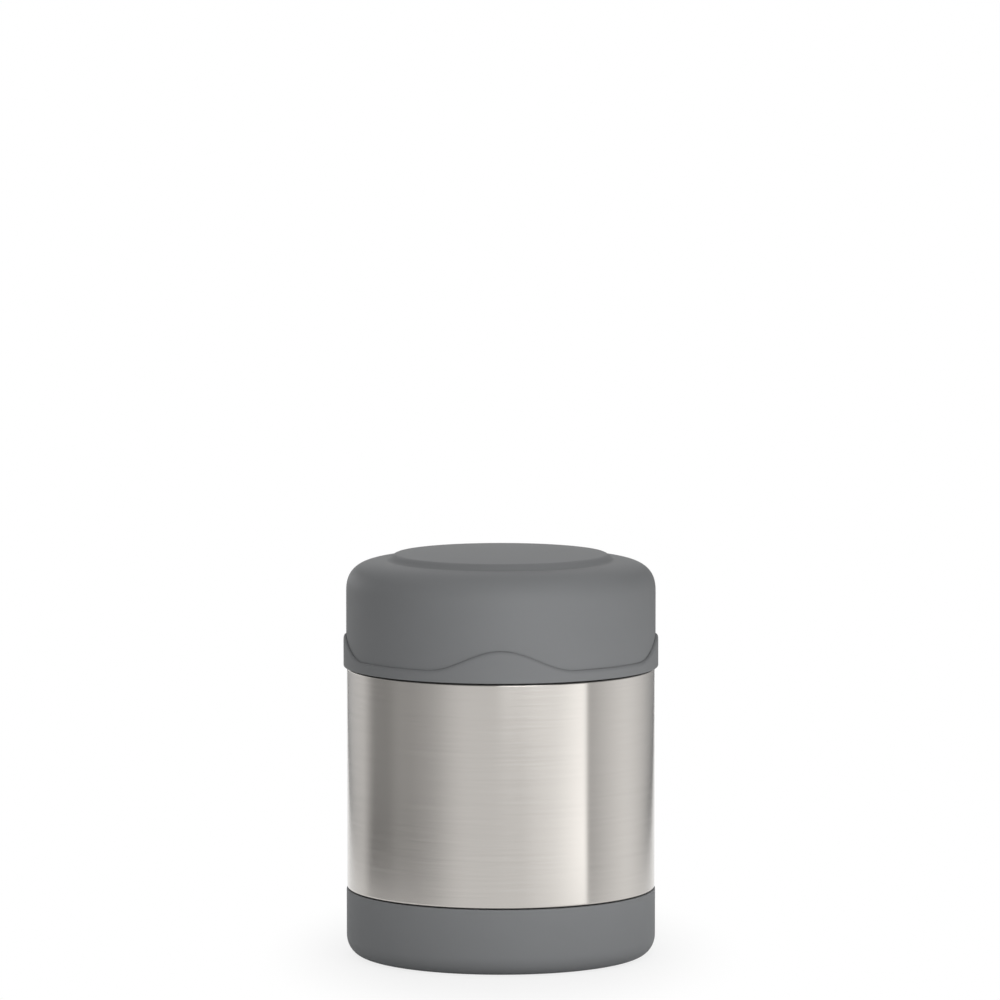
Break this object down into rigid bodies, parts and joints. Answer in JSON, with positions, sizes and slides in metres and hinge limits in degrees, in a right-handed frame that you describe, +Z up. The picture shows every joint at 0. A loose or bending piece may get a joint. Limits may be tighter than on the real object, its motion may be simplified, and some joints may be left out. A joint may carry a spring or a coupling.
{
  "type": "insulated food jar",
  "caption": "Double-walled steel food jar on a moulded base cup, with a foam-filled screw lid, wavy grip band and sealing ring.",
  "frame": {"origin": "middle of the base, on the surface that the jar stands on", "axes": "+Z up along the jar's axis; -Y is the front, where a wave of the grip band is centred"},
  "size_m": [0.0914, 0.0914, 0.1174],
  "materials": {
    "brushed_steel": "satin",
    "plain_steel": "satin",
    "inner_steel": "satin",
    "foil": "polished",
    "getter_metal": "matte",
    "solder": "satin",
    "base_grey": "matte",
    "adhesive_foam": "matte",
    "silicone": "matte",
    "liner_plastic": "satin",
    "foam": "matte",
    "lid_grey": "matte",
    "band_grey": "matte"
  },
  "bodies": {
    "jar": {"outer_shell": "brushed_steel", "outer_bottom": "plain_steel", "inner_wall": "inner_steel", "inner_bottom": "inner_steel", "foil_wrap": "foil", "foil_disc": "foil", "getter": "getter_metal", "getter_clip": "plain_steel", "vacuum_plug": "solder", "base_cup": "base_grey", "base_pad": "adhesive_foam"},
    "seal": {"lid_gasket": "silicone"},
    "lid": {"lid_liner": "liner_plastic", "lid_insulation": "foam", "lid_shell": "lid_grey", "grip_band": "band_grey"}
  },
  "joints": [
    {"name": "lid_rise", "type": "slide", "parent": "jar", "child": "seal", "axis": [0, 0, 1], "range_m": [0, 0.0365]},
    {"name": "lid_turn", "type": "hinge", "parent": "seal", "child": "lid", "pos_m": [0, 0, 0], "axis": [0, 0, 1], "range_deg": [0, 1080]}
  ],
  "couplings": [
    {"joint": "lid_rise", "follows": "lid_turn", "m_per_rad": 0.0019099}
  ]
}
